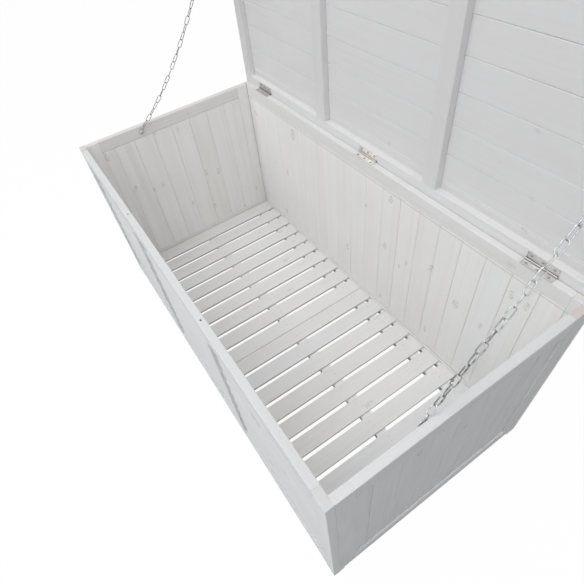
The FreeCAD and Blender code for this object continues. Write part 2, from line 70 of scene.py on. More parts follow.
# Rounded edges, in metres
WOOD_ROUND = 0.0011
METAL_ROUND = 0.00025
ROUND_ANGLE = math.radians(50)
ROUND_SEGMENTS = 3
ROUND_EDGE_LENGTHS = 5
ROUND_FACE_WIDTHS = 2.6
SCREW_SHARP = math.radians(40)
HINGE_SHARP = math.radians(35)

# Chain links: the wire, the weld bead as (place along the side, swelling), and the twist from link to link
LINK_SIDES = 12
LINK_BEND_STEPS = 8
LINK_WIRE_EASE = 1.05
LINK_SIDE_SWELL = 0.14
LINK_BEAD_SWELL = 0.10
LINK_END_POWER = 6
LINK_BEAD = ((0.5, 0.0), (0.16, 0.0), (0.07, 0.5), (0.0, 1.0), (-0.07, 0.5), (-0.16, 0.0), (-0.5, 0.0))
LINK_WIDEN = 1.18
CHAIN_TWIST = math.radians(25.7)
CHAIN_LEVEL_LINK = 15

# Painted shade on the links, which are counted from the wall screw: darker flanks that face down or sideways, and
# darker insides at the link ends and weld beads
LINK_FLANK_LIFT = 1.03
LINK_FLANK_SPAN = 0.40
LINK_INSIDE_DARKENING = 0.3
LINK_BEAD_SOIL = 0.2
CHAIN_LESS_SHADED_LINKS = {"left": 1, "right": 2}
LESS_SHADED_LINK_SHADE = 0.3
LEFT_LINK_SHADE = 0.72
LOWER_LINK_SHADE = 0.84
UPPER_LINK_SHADE = 0.42
SHADE_FADE_LINKS = (5, 12)

# Screws, washers, nails and hinge barrels
SCREW_SIDES = 24
NAIL_SIDES = 12
RECESS_REACH = 0.46
RECESS_HALF = 0.13
RECESS_DEPTH = 0.35
RECESS_TAPER = 0.8
WASHER_SHARE = 0.2
WASHER_THICK = 0.002
RAIL_NAIL_STAIN = 0.0027
SLAT_NAIL = 0.0011
SLAT_NAIL_SIDES = 8
SLAT_NAIL_SHARES = (0.26, 0.58)
SLAT_NAIL_STEPS = (-0.006, 0.006)
SLAT_NAIL_STRAY = 0.06
SLAT_NAIL_DRIFT = 0.003
SLAT_NAIL_SINK = 0.0006
SLAT_NAIL_MISSING = 0.4
# Painted shade on the hinge barrels: less on faces that look up and to the front, and a little less on the middle
# hinge
BARREL_REACH = 0.0031
BARREL_SHADE = 0.85
BARREL_TOP_SHADE = 0.58
BARREL_TOP_FACING = 1.3
MIDDLE_HINGE_SHADE = 0.95

# The loose floor: its seam lies right of the middle, and the slats by the left wall are shifted less
FLOOR_SEAM_SHIFT = 0.014
FLOOR_WALL_SHIFT = 0.003
FLOOR_SEAM_REACH = 0.001
FLOOR_STRIP_PLAY = 0.0011
FLOOR_STRIP_EASE = 0.0009
FLOOR_STRIP_STEPS = 48
FLOOR_STRIP_SINK = 0.0002
FLOOR_STRIP_UNEVEN = 0.00025
FLOOR_STRIP_WAVE = 0.0002
SAME_PLACE = 0.0001

# Colours in linear light
GLAZE = (0.895, 0.898, 0.900)
GLAZE_SHADE = (0.838, 0.836, 0.831)
BOARD_SHADE = (0.760, 0.760, 0.757)
PINK_FIBRE = (0.800, 0.752, 0.722)
WARM_STREAK = (0.66, 0.585, 0.525)
KNOT_RIM = (0.54, 0.505, 0.47)
KNOT_HEART = (0.38, 0.335, 0.29)
END_GRAIN = (0.62, 0.51, 0.44)
BARE_EDGE = (0.70, 0.645, 0.59)
# Dark lines of joints and stains, also used for painted shadows
SEAM_AND_SHADOW = (0.25, 0.225, 0.205)
COOL_BOARD = (0.955, 0.975, 1.0)
WARM_BOARD = (1.0, 0.975, 0.945)
# Painted highlight along edges that catch the light
PAINTED_HIGHLIGHT = (0.97, 0.97, 0.97)

# Pine figure: pattern shift per board, wander of the grain, growth rings per metre and how knots bend them
BOARD_SHIFTS = (37.0, 11.0)
GRAIN_WANDER = 0.022
RINGS_PER_METRE = 560.0
RING_SPREAD = 30.0
KNOT_STRETCH = 0.55
KNOT_STIR = 0.009
KNOT_REACH = 4.5
KNOT_PULL = 15.0
KNOT_RIM_PLACE = 0.90

# Knots in millimetres from the middle of the box: across, up or along, radius
KNOT_SHARE = 0.72
FRONT_KNOT_SHARE = 1.05
LEFT_KNOTS = ((-238, 473, 9), (-70, 488, 7), (7, 470, 5), (63, 279, 8), (107, 262, 9), (-137, 297, 6), (-103, 304, 8),
              (-195, 334, 7), (60, 128, 8), (-22, 182, 6), (250, 116, 6), (180, 63, 6))
BACK_KNOTS = ((-339, 455, 13), (-400, 284, 7), (114, 467, 8), (-63, 172, 8), (105, 296, 9), (151, 308, 5),
              (20, 390, 4), (169, 263, 6), (192, 298, 5), (277, 344, 9), (104, 75, 6), (297, 106, 7),
              (369, 292, 11), (450, 285, 7), (487, 438, 8), (525, 436, 8), (460, 508, 9))
FRONT_KNOTS = ((373, 378, 10), (326, 300, 8), (386, 462, 7), (381, 139, 8), (454, 294, 9), (521, 394, 8))
LID_KNOTS = ((53, 583, 4), (404, 762, 4), (351, 677, 3), (436, 641, 3), (446, 567, 5))
SLAT_KNOTS = ((-130, 85, 8), (-156, -78, 8), (359, 23, 10))
BOX_MIDDLE_Y = -0.01605

# End grain shows more where the glaze is thin
END_TONES = {"right_end_stile_back": 0.80, "back_stile_right": 0.40, "front_stile_left": 0.35,
             "left_end_stile_front": 0.30, "right_end_stile_front": 0.10, "front_stile_right": 0.10}
END_TONE = 0.18

# Reach of painted lines that run the whole length or depth of the box: axis, from, to
LENGTHWAYS = ("X", -0.7, 0.7)
DEPTHWAYS = ("Y", -0.4, 0.4)

# Studio: how much light the floor bounces, how much of the shadow it shows, and the light of the surround
FLOOR_REACH = 20.0
FLOOR_BOUNCE = 0.25
FLOOR_SHADOW = 0.02
FLOOR_WHITE = 0.95
SURROUND_LEVEL = 0.02
SURROUND_COLOUR = (0.97, 0.985, 1.0)
LAMP_COLOUR = (0.995, 0.998, 1.0)
LAMP_AIM = (0.0, 0.0, 0.4)

# Panel lamps: name, place, aim, size in metres, power in watts
LAMPS = (
    ("key_panel", (-1.4, -2.2, 3.6), LAMP_AIM, 4.5, 49),
    ("front_panel", (0.3, -3.6, 1.6), LAMP_AIM, 2.6, 31),
    ("fill_panel", (0.8, -2.6, 3.2), LAMP_AIM, 2.6, 26),
    ("top_panel", (0.2, -0.3, 3.6), LAMP_AIM, 3.0, 34),
    ("sky_panel", (-0.6, -0.6, 4.2), LAMP_AIM, 6.0, 71),
    ("right_panel", (3.2, -0.4, 1.6), LAMP_AIM, 2.6, 21),
    ("back_panel", (-0.9, 3.0, 0.95), (-0.1, 0.3, 0.55), 1.6, 40),
)


class Paint:
    """A material under construction, with short calls for its nodes."""

    def __init__(self, name):
        self.material = bpy.data.materials.new(name)
        self.material.use_nodes = True
        self.tree = self.material.node_tree
        self.tree.nodes.clear()
        self.out = self.tree.nodes.new("ShaderNodeOutputMaterial")

    def wire(self, socket, value):
        if isinstance(value, bpy.types.NodeSocket):
            self.tree.links.new(value, socket)
        elif isinstance(value, tuple) and len(value) == 3 and socket.type == "RGBA":
            socket.default_value = (*value, 1.0)
        else:
            socket.default_value = value

    def node(self, kind, inputs=None, **settings):
        made = self.tree.nodes.new(kind)
        for key, value in settings.items():
            setattr(made, key, value)
        for key, value in (inputs or {}).items():
            self.wire(made.inputs[key], value)
        return made

    def math(self, operation, a, b=0.0):
        return self.node("ShaderNodeMath", {0: a, 1: b}, operation=operation).outputs[0]

    def times(self, a, b):
        return self.math("MULTIPLY", a, b)

    def vector(self, operation, a, b=(0, 0, 0)):
        made = self.node("ShaderNodeVectorMath", {0: a, 1: b}, operation=operation)
        return made.outputs["Value" if operation in ("LENGTH", "DISTANCE") else "Vector"]

    def mix(self, factor, a, b, blend="MIX"):
        made = self.node("ShaderNodeMix", data_type="RGBA", blend_type=blend)
        self.wire(made.inputs["Factor"], factor)
        self.wire(made.inputs[6], a)
        self.wire(made.inputs[7], b)
        return made.outputs[2]

    def span(self, value, low, high, to_low=0.0, to_high=1.0, smooth=True):
        made = self.node("ShaderNodeMapRange", {"Value": value, "From Min": low, "From Max": high,
                                                "To Min": to_low, "To Max": to_high})
        made.interpolation_type = "SMOOTHSTEP" if smooth else "LINEAR"
        return made.outputs["Result"]

    def noise(self, place, scale, detail=2.0, rough=0.5):
        return self.node("ShaderNodeTexNoise", {"Vector": place, "Scale": scale, "Detail": detail,
                                                "Roughness": rough}).outputs["Fac"]

    def attribute(self, name):
        return self.node("ShaderNodeAttribute", attribute_name=name).outputs["Fac"]

    def join(self, x, y, z):
        return self.node("ShaderNodeCombineXYZ", {0: x, 1: y, 2: z}).outputs[0]

    def finish(self, **sockets):
        shader = self.node("ShaderNodeBsdfPrincipled")
        for key, value in sockets.items():
            self.wire(shader.inputs[key.replace("_", " ")], value)
        self.tree.links.new(shader.outputs[0], self.out.inputs["Surface"])
        return self.material


def knot_nearness(paint, place, knots, axis, through):
    """Distance to the nearest knot in knot radii, stretched along the grain; a knot runs through its board."""
    nearest = None
    for spot in knots:
        stretch = [1 / spot[3]] * 3
        stretch["XYZ".index(axis)] = KNOT_STRETCH / spot[3]
        stretch["XYZ".index(through)] = 0.0
        away = paint.vector("MULTIPLY", paint.vector("SUBTRACT", place, spot[:3]), tuple(stretch))
        reach = paint.vector("LENGTH", away)
        nearest = reach if nearest is None else paint.math("MINIMUM", nearest, reach)
    return nearest


def painted_knots(paint, colour, place, near):
    """The colour with a broken dark rim and a darker heart on every knot."""
    off_rim = paint.math("ABSOLUTE", paint.math("SUBTRACT", near, KNOT_RIM_PLACE))
    broken = paint.span(paint.noise(place, 95.0, 1.0), 0.40, 0.62, 0.10, 1.0)
    colour = paint.mix(paint.times(paint.span(off_rim, 0.05, 0.38, 0.62, 0.0), broken), colour, KNOT_RIM)
    return paint.mix(paint.span(near, 0.15, 0.75, 0.26, 0.0), colour, KNOT_HEART)


def seam(axis, at, width, strength, along, low, high, shade=SEAM_AND_SHADOW):
    """A painted line at one place on an axis, between two places along another axis; used for dark joints, painted
    highlights and painted shadows.
    """
    return "XYZ".index(axis), at, width, strength, "XYZ".index(along), low, high, shade


def painted_seam(paint, colour, split, line):
    """The colour with a painted line over it."""
    axis, at, width, strength, along, low, high, shade = line
    off = paint.math("ABSOLUTE", paint.math("SUBTRACT", split[axis], at))
    dark = paint.span(off, 0.35 * width, width, strength, 0.0)
    inside = paint.times(paint.math("GREATER_THAN", split[along], low), paint.math("LESS_THAN", split[along], high))
    return paint.mix(paint.times(dark, inside), colour, shade)


def glazed_pine(name, axis, ring=0.10, fibre=0.30, pink=0.10, streak=0.10, tint=(1, 1, 1), knots=(), through="Y",
                line_marks=(), stains=(), top=1.0, outer=1.0, hue=0.0):
    """White-glazed pine: growth rings, fibre, warm streaks, knots, end grain and thin glaze on the edges.

    top and outer are painted shade: they darken the faces that look up and the faces that look to the back.
    """
    paint = Paint(name)
    coordinates = paint.node("ShaderNodeTexCoord").outputs
    place = coordinates["Object"]
    board = paint.attribute("board")
    split = paint.node("ShaderNodeSeparateXYZ", {0: place}).outputs
    along = split["XYZ".index(axis)]
    first, second = [split[i] for i in range(3) if "XYZ"[i] != axis]
    first = paint.math("ADD", first, paint.times(board, BOARD_SHIFTS[0]))
    second = paint.math("ADD", second, paint.times(board, BOARD_SHIFTS[1]))

    def tinted(shade):
        return tuple(a * b for a, b in zip(shade, tint))

    def grain(lengthways, across, detail, rough=0.5):
        spot = paint.join(paint.times(along, lengthways), paint.times(bent, across), paint.times(second, across))
        return paint.noise(spot, 1.0, detail, rough)

    # The grain wanders a little along the board and opens round the knots
    bent = first
    wander = grain(1.7, 7.0, 2.0)
    bent = paint.math("ADD", first, paint.times(wander, GRAIN_WANDER))
    spread = grain(1.1, 26.0, 1.0)
    phase = paint.math("ADD", paint.times(bent, RINGS_PER_METRE), paint.times(spread, RING_SPREAD))
    if knots:
        stir = paint.node("ShaderNodeTexNoise", {"Vector": place, "Scale": 130.0, "Detail": 2.0}).outputs["Color"]
        stir = paint.vector("MULTIPLY", paint.vector("SUBTRACT", stir, (0.5, 0.5, 0.5)), (KNOT_STIR,) * 3)
        near = knot_nearness(paint, paint.vector("ADD", place, stir), knots, axis, through)
        phase = paint.math("ADD", phase, paint.span(near, 0.0, KNOT_REACH, KNOT_PULL, 0.0))
    late = paint.span(paint.math("SINE", phase), 0.1, 1.0)
    hair = grain(8.0, 640.0, 3.0, 0.6)
    lines = grain(1.2, 105.0, 2.0, 0.6)
    band = grain(1.0, 25.0, 2.0, 0.55)
    cloud = paint.noise(place, 7.0, 3.0)

    # Glaze over the figure
    figure = paint.math("ADD", paint.times(late, ring), paint.times(hair, fibre))
    figure = paint.math("ADD", figure, paint.times(cloud, 0.30))
    tone = paint.span(figure, 0.12, 0.37 + 0.75 * (ring + fibre))
    colour = paint.mix(tone, tinted(GLAZE), tinted(GLAZE_SHADE))
    colour = paint.mix(paint.times(paint.span(lines, 0.46, 0.70), pink), colour, tinted(PINK_FIBRE))
    warm = paint.times(paint.span(band, 0.42, 0.76), paint.span(board, 0.15, 0.85, 0.35 * streak, streak))
    colour = paint.mix(warm, colour, WARM_STREAK)
    colour = paint.mix(paint.span(board, 0.0, 1.0, 0.0, 0.15, smooth=False), colour, tinted(BOARD_SHADE))
    if hue:
        kind = paint.math("FRACT", paint.times(board, 7.3))
        colour = paint.mix(paint.span(kind, 0.0, 0.4, hue, 0.0), colour, COOL_BOARD, "MULTIPLY")
        colour = paint.mix(paint.span(kind, 0.6, 1.0, 0.0, hue), colour, WARM_BOARD, "MULTIPLY")
    # Painted shade: faces that look up (top) and faces that look to the back (outer) are darkened
    for index, factor in ((2, top), (1, outer)):
        if factor < 1.0:
            toward = paint.node("ShaderNodeSeparateXYZ", {0: coordinates["Normal"]}).outputs[index]
            colour = paint.mix(paint.span(toward, 0.55, 0.9), colour, (factor,) * 3, "MULTIPLY")
    if knots:
        colour = painted_knots(paint, colour, place, near)
    end = paint.times(paint.attribute("end_grain"), paint.span(cloud, 0.35, 0.65, 0.6, 1.0))
    colour = paint.mix(end, colour, END_GRAIN)
    worn = paint.times(paint.attribute("edge"), paint.span(cloud, 0.48, 0.66, 0.0, 0.22))
    colour = paint.mix(worn, colour, BARE_EDGE)
    # Painted lines: dark joints, painted highlights and painted shadows
    for line in line_marks:
        colour = painted_seam(paint, colour, split, line)
    for x, y, z, radius in stains:
        away = paint.vector("DISTANCE", place, (x, y, z))
        colour = paint.mix(paint.span(away, 0.7 * radius, 1.5 * radius, 0.8, 0.0), colour, SEAM_AND_SHADOW)

    rough = paint.span(figure, 0.1, 0.8, 0.46, 0.62, smooth=False)
    relief = paint.math("ADD", paint.times(hair, 0.6), paint.times(late, 0.4))
    bump = paint.node("ShaderNodeBump", {"Height": relief, "Strength": 0.20, "Distance": 0.0006}).outputs[0]
    return paint.finish(Base_Color=colour, Roughness=rough, Normal=bump, Specular_IOR_Level=0.3)


def zinc(name, colour, low, high, brushed, shade_and_soil_depth, tarnish):
    """Zinc-plated steel: spangle, fine brushing, tarnish, and painted shade with some soil where a mesh attribute
    marks it.
    """
    paint = Paint(name)
    place = paint.node("ShaderNodeTexCoord").outputs["Object"]
    split = paint.node("ShaderNodeSeparateXYZ", {0: place}).outputs
    spangle = paint.noise(place, 320.0, 3.0, 0.6)
    lines = paint.noise(paint.join(paint.times(split[0], 60.0 if brushed else 900.0),
                                   paint.times(split[1], 2600.0), paint.times(split[2], 2600.0)), 1.0, 2.0)
    mixed = paint.math("ADD", paint.times(spangle, 0.6), paint.times(lines, 0.4))
    tint = paint.mix(paint.span(mixed, 0.3, 0.7), tuple(c * 0.80 for c in colour), colour)
    stain = paint.times(paint.span(paint.noise(place, 190.0, 2.0), 0.50, 0.68), tarnish)
    tint = paint.mix(stain, tint, tuple(c * 0.30 for c in colour))
    # Painted shade, with some soil, from the mesh attribute
    shade_and_soil_level = paint.times(paint.attribute("shade_and_soil"), shade_and_soil_depth)
    tint = paint.mix(shade_and_soil_level, tint, tuple(c * 0.10 for c in colour))
    rough = paint.span(mixed, 0.3, 0.7, high, low)
    bump = paint.node("ShaderNodeBump", {"Height": mixed, "Strength": 0.08, "Distance": 0.0002}).outputs[0]
    return paint.finish(Base_Color=tint, Roughness=rough, Normal=bump, Metallic=1.0)


def dark_steel(name, low, high):
    """Screw and nail heads: duller steel with painted shade in the recess."""
    paint = Paint(name)
    place = paint.node("ShaderNodeTexCoord").outputs["Object"]
    spot = paint.noise(place, 700.0, 3.0, 0.6)
    tint = paint.mix(paint.span(spot, 0.3, 0.7), low, high)
    tint = paint.mix(paint.times(paint.attribute("shade_and_soil"), 0.9), tint, tuple(c * 0.15 for c in low))
    rough = paint.span(spot, 0.3, 0.7, 0.48, 0.30)
    return paint.finish(Base_Color=tint, Roughness=rough, Metallic=1.0)


def welded(node):
    """A bmesh copy of a CAD node, with its flat faces whole again."""
    made = bmesh.new()
    made.from_mesh(NODES[node].data)
    bmesh.ops.remove_doubles(made, verts=made.verts, dist=2e-6)
    bmesh.ops.dissolve_limit(made, angle_limit=math.radians(0.6), verts=made.verts, edges=made.edges)
    made.normal_update()
    made.faces.index_update()
    return made


def unique(things):
    """Each thing once, in the order it first comes, so that every run gives the same result."""
    return list(dict.fromkeys(things))


def islands(made):
    """The connected pieces of a bmesh, as lists of faces."""
    found, seen = [], set()
    for start in made.faces:
        if start.index in seen:
            continue
        group, queue = [], [start]
        seen.add(start.index)
        while queue:
            face = queue.pop()
            group.append(face)
            for edge in face.edges:
                for other in edge.link_faces:
                    if other.index not in seen:
                        seen.add(other.index)
                        queue.append(other)
        found.append(group)
    return found


def island_spots(node):
    """Corner points of each connected piece of a CAD node."""
    made = welded(node)
    spots = [np.array([v.co for v in unique(v for face in group for v in face.verts)]) for group in islands(made)]
    made.free()
    return spots


def roundable(edge, width):
    """A sharp edge that is long enough, between faces wide enough, to take the rounding."""
    if len(edge.link_faces) != 2 or edge.calc_length() < ROUND_EDGE_LENGTHS * width:
        return False
    if edge.calc_face_angle(0.0) < ROUND_ANGLE or not edge.is_convex:
        return False
    for face in edge.link_faces:
        longest = max(side.calc_length() for side in face.edges)
        if face.calc_area() / longest < ROUND_FACE_WIDTHS * width:
            return False
    return True


def slat_shift(x):
    """How far a floor slat at x lies to the right of its plain place."""
    if x > 0:
        return FLOOR_SEAM_SHIFT
    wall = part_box("floor_slats_left")[0].x
    return FLOOR_SEAM_SHIFT + (FLOOR_WALL_SHIFT - FLOOR_SEAM_SHIFT) * x / wall


def settle_floor(made, node):
    """Shifts the slats and the inner ends of the bearers of the loose floor; the outer edges stay."""
    wall = max(abs(corner.x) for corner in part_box(node))
    for group in islands(made):
        spots = unique(spot for face in group for spot in face.verts)
        middle = sum(spot.co.x for spot in spots) / len(spots)
        for spot in spots:
            by_seam = abs(spot.co.x) < FLOOR_SEAM_REACH
            by_wall = abs(abs(spot.co.x) - wall) < SAME_PLACE
            if "bearers" in node and by_seam:
                spot.co.x += FLOOR_SEAM_SHIFT
            elif "slats" in node and not by_wall:
                spot.co.x += slat_shift(middle)


def floor_strips():
    """The narrow strips that close the floor along the front and back walls."""
    slats_low, slats_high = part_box("floor_slats_left")
    back_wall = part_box("ledger_back")[1].y
    line_marks = (seam("Y", back_wall - FLOOR_STRIP_PLAY, 0.0009, 0.25, *LENGTHWAYS),
             seam("Y", slats_high.y + FLOOR_STRIP_PLAY, 0.0008, 0.20, *LENGTHWAYS))
    # The strip's tint is lighter than the glaze: painted light, so the strip shows as bright as the slats though it
    # lies in shade between them and the wall
    material = glazed_pine("glazed_pine_strip_x", "X", 0.06, 0.20, 0.12, 0.08, (1.07, 1.07, 1.06), line_marks=line_marks)
    made = bmesh.new()
    for ledger in ("ledger_front", "ledger_back"):
        low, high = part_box(ledger)
        near, far = low.y + FLOOR_STRIP_PLAY, slats_low.y - FLOOR_STRIP_PLAY
        if ledger == "ledger_back":
            near, far = slats_high.y + FLOOR_STRIP_PLAY, high.y - FLOOR_STRIP_PLAY
        dice = random.Random(ledger)
        ease = FLOOR_STRIP_EASE
        rings = []
        for k in range(FLOOR_STRIP_STEPS + 1):
            x = low.x + (high.x - low.x) * k / FLOOR_STRIP_STEPS
            top = slats_high.z - FLOOR_STRIP_SINK - dice.uniform(0.0, FLOOR_STRIP_UNEVEN)
            a, b, under = near + dice.uniform(0.0, FLOOR_STRIP_WAVE), far, high.z
            outline = ((a, under), (a, top - ease), (a + 0.3 * ease, top - 0.3 * ease), (a + ease, top),
                       (b - ease, top), (b - 0.3 * ease, top - 0.3 * ease), (b, top - ease), (b, under))
            rings.append([made.verts.new((x, y, z)) for y, z in outline])
        for here, after in zip(rings, rings[1:]):
            for n in range(len(here)):
                m = (n + 1) % len(here)
                made.faces.new((here[n], here[m], after[m], after[n]))
        made.faces.new(rings[0])
        made.faces.new(rings[-1])
    show(finished_mesh(made, "floor_strips_shape"), "floor_edge_strips", [material], "box")


def rounded_copy(node, width, axis=None):
    """A new piece with the node's shape and rounded edges; marks each board, end grain and edge."""
    made = welded(node)
    if node.startswith("floor_"):
        settle_floor(made, node)
    board = made.faces.layers.float.new("board")
    end = made.faces.layers.float.new("end_grain")
    edge_mark = made.faces.layers.float.new("edge")
    dice = random.Random(node)
    for group in islands(made):
        value = dice.random()
        for face in group:
            face[board] = value
    if axis:
        pointing = Vector([float(letter == axis) for letter in "XYZ"])
        tone = END_TONES.get(node, END_TONE)
        for face in made.faces:
            face[end] = tone if abs(face.normal.dot(pointing)) > 0.9 else 0.0
    before = set(made.faces)
    edges = [edge for edge in made.edges if roundable(edge, width)]
    cut = bmesh.ops.bevel(made, geom=edges, offset=width, offset_type="OFFSET", segments=ROUND_SEGMENTS, profile=0.5,
                          affect="EDGES", clamp_overlap=False)
    for face in cut["faces"]:
        if face not in before:
            face[edge_mark] = 1.0
    mesh = bpy.data.meshes.new(node + "_shape")
    made.to_mesh(mesh)
    made.free()
    return mesh


def show(mesh, name, materials, body=None, replaces=()):
    """Puts a finished mesh in the scene, on its body and in place of its CAD nodes."""
    piece = bpy.data.objects.new(name, mesh)
    bpy.context.scene.collection.objects.link(piece)
    mesh.materials.clear()
    for material in materials:
        mesh.materials.append(material)
    if body:
        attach(piece, body)
    if replaces:
        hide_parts(*replaces)
    return piece


def body_for(node):
    """The body that carries a node."""
    return "lid" if node in LID_NODES else "box"


def grain_axis(node):
    """The way the grain runs in each wooden node."""
    if node.startswith("foot_"):
        return "Z"
    if "_boards" in node:
        return "X" if node.startswith(("front_", "lid_")) else "Z"
    if "stile" in node or node.startswith(("lid_end_rail", "lid_batten")):
        return "Z"
    if node.startswith(("left_end_", "right_end_", "floor_slats")):
        return "Y"
    if node in ("ledger_left", "ledger_right"):
        return "Y"
    return "X"


def knot_spots(knots, across, up, extra, low, high, share=KNOT_SHARE):
    """Knots as (x, y, z, radius) in metres, with a few more strewn between two corners."""
    dice = random.Random(across + up + str(extra))
    more = [(dice.uniform(low[0], high[0]), dice.uniform(low[1], high[1]), dice.uniform(4, 9)) for _ in range(extra)]
    spots = []
    for a, b, radius in list(knots) + more:
        spot = {"X": 0.0, "Y": 0.0, "Z": 0.0, across: a / 1000}
        spot[up] = b / 1000
        spots.append((spot["X"], spot["Y"] + BOX_MIDDLE_Y, spot["Z"], share * radius / 1000))
    return spots


def painted_lines():
    """Thin lines by name: dark lines along joints, painted highlights along edges, and painted shadows beside some of
    them and over the lid's ledge.
    """
    back_low, back_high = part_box("back_boards")
    foot_low, foot_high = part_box("right_end_bottom_rail")
    slats_low, slats_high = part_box("floor_slats_left")
    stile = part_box("right_end_stile_back")[0].y
    return {
        "corner": seam("Y", back_low.y, 0.0022, 0.8, "Z", 0.014, 0.535),
        "crack": seam("Y", 0.056 + BOX_MIDDLE_Y, 0.0012, 0.35, "Z", 0.499, 0.516),
        "under_rail": seam("Z", back_high.z - 0.0062, 0.0018, 0.30, "X", -0.63, 0.63),
        # Painted shade: a wide faint dark band over the lid's ledge
        "lid_ledge_painted_shade": seam("Z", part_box("lid_rear_rail")[1].z, 0.020, 0.15, *LENGTHWAYS),
        # Painted highlight along the lid's lowest board, with a painted shadow just above it
        "lid_painted_highlight": seam("Z", 0.5738, 0.0010, 0.85, "X", -0.6, 0.6, PAINTED_HIGHLIGHT),
        "lid_shade": seam("Z", 0.5755, 0.0009, 0.14, "X", -0.6, 0.6),
        # Painted highlights along the right end's rim, foot, stile and boards, with painted shadows below the foot
        # and beside the stile
        "rim_painted_highlight": seam("Z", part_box("right_end_top_rail")[1].z - 0.004, 0.0040, 0.40, *DEPTHWAYS, PAINTED_HIGHLIGHT),
        "foot_painted_highlight": seam("Z", foot_high.z - 0.002, 0.0045, 0.55, *DEPTHWAYS, PAINTED_HIGHLIGHT),
        "foot_shade": seam("Z", foot_low.z, 0.0080, 0.35, *DEPTHWAYS),
        "stile_painted_highlight": seam("Y", stile + 0.002, 0.0035, 0.45, "Z", 0.0, 0.53, PAINTED_HIGHLIGHT),
        "stile_shade": seam("Y", stile + 0.0065, 0.0035, 0.25, "Z", 0.0, 0.53),
        "board_painted_highlight": seam("Y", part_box("right_end_boards")[1].y - 0.004, 0.0030, 0.30, "Z", 0.05, 0.50, PAINTED_HIGHLIGHT),
        "slats_front": seam("Y", slats_low.y, 0.0014, 0.40, *LENGTHWAYS),
        "slats_back": seam("Y", slats_high.y, 0.0014, 0.40, *LENGTHWAYS),
    }


def nail_stains():
    """The dark rings round the nails in the front rail, as (x, y, z, radius)."""
    stains = []
    for spots in island_spots("front_rail_nails"):
        low, high = spots.min(0), spots.max(0)
        stains.append(((low[0] + high[0]) / 2, (low[1] + high[1]) / 2, high[2], RAIL_NAIL_STAIN))
    return stains


def wood_looks():
    """How each part shows its grain: (starts of node names, settings of glazed_pine); the first match counts."""
    lines = painted_lines()
    left = knot_spots(LEFT_KNOTS, "Y", "Z", 0, (0, 0), (0, 0))
    back = knot_spots(BACK_KNOTS, "X", "Z", 3, (-580, 60), (-420, 460))
    front = knot_spots(FRONT_KNOTS, "X", "Z", 9, (-580, 60), (240, 480), FRONT_KNOT_SHARE)
    lid = knot_spots(LID_KNOTS, "X", "Z", 5, (-600, 790), (600, 1130))
    right = knot_spots((), "Y", "Z", 4, (-240, 70), (240, 480))
    slats = knot_spots(SLAT_KNOTS, "X", "Y", 6, (-580, -260), (580, 260))
    # The tints give each part its tone of the glaze and also paint light and shade: the back and left boards are
    # lighter, and the rims, lid, back rail, right stile and slats darker, to even out how the lamps light them. The
    # right end is a little bluer, painting the cool light on its shaded side. top and outer add painted shade on
    # faces that look up or to the back
    cool = (0.985, 0.993, 1.005)
    warm = (1.050, 1.046, 1.036)
    warmer = (1.055, 1.044, 1.030)
    right_grain = dict(ring=0.20, fibre=0.46, pink=0.12, streak=0.14)
    left_grain = dict(ring=0.07, fibre=0.26, pink=0.30, streak=0.24, knots=left, through="X",
                      line_marks=(lines["corner"], lines["crack"]))
    return [
        (("lid_boards",),
         dict(ring=0.05, fibre=0.14, pink=0.07, streak=0.05, tint=(0.911, 0.909, 0.917), knots=lid, outer=0.86,
              line_marks=(lines["lid_ledge_painted_shade"], lines["lid_painted_highlight"], lines["lid_shade"]))),
        (("lid_",),
         dict(ring=0.06, fibre=0.20, pink=0.10, streak=0.06, tint=(0.896, 0.894, 0.900), top=0.93, outer=0.86)),
        (("front_top_rail",),
         dict(ring=0.10, fibre=0.34, pink=0.12, streak=0.10, tint=(0.945, 0.952, 0.964), top=0.84,
              stains=nail_stains())),
        (("right_end_top_rail",),
         dict(ring=0.12, fibre=0.36, pink=0.14, streak=0.12, tint=(0.960, 0.970, 0.985), top=0.84,
              line_marks=(lines["rim_painted_highlight"],))),
        (("left_end_top_rail",), dict(left_grain, tint=(0.945, 0.932, 0.912), top=0.86)),
        (("back_boards", "back_bottom_rail"),
         dict(ring=0.06, fibre=0.20, pink=0.20, streak=0.08, tint=warm, knots=back, hue=0.25,
              line_marks=(lines["under_rail"],))),
        (("back_",),
         dict(ring=0.06, fibre=0.22, pink=0.14, streak=0.05, tint=(0.950, 0.950, 0.946), knots=back, top=0.87,
              line_marks=(lines["under_rail"],))),
        (("left_end_boards",),
         dict(ring=0.08, fibre=0.26, pink=0.30, streak=0.28, tint=warmer, knots=left, through="X", hue=0.2)),
        (("left_end_",), dict(left_grain, tint=warmer, top=0.84)),
        (("right_end_stile_back",),
         dict(right_grain, tint=(0.925, 0.935, 0.950), top=0.84, line_marks=(lines["stile_painted_highlight"], lines["stile_shade"]))),
        (("right_end_bottom_rail",),
         dict(right_grain, tint=cool, line_marks=(lines["foot_painted_highlight"], lines["foot_shade"]))),
        (("right_end_",),
         dict(right_grain, tint=(0.985, 0.998, 1.018), top=0.84, knots=right, through="X",
              line_marks=(lines["board_painted_highlight"],))),
        (("front_",), dict(ring=0.08, fibre=0.24, pink=0.10, streak=0.08, tint=cool, knots=front, top=0.76)),
        (("floor_slats",),
         dict(ring=0.08, fibre=0.22, pink=0.14, streak=0.08, tint=(0.885, 0.881, 0.873), knots=slats, through="Z",
              hue=0.45, line_marks=(lines["slats_front"], lines["slats_back"]))),
        (("",), dict(ring=0.10, fibre=0.30, pink=0.10, streak=0.15)),
    ]


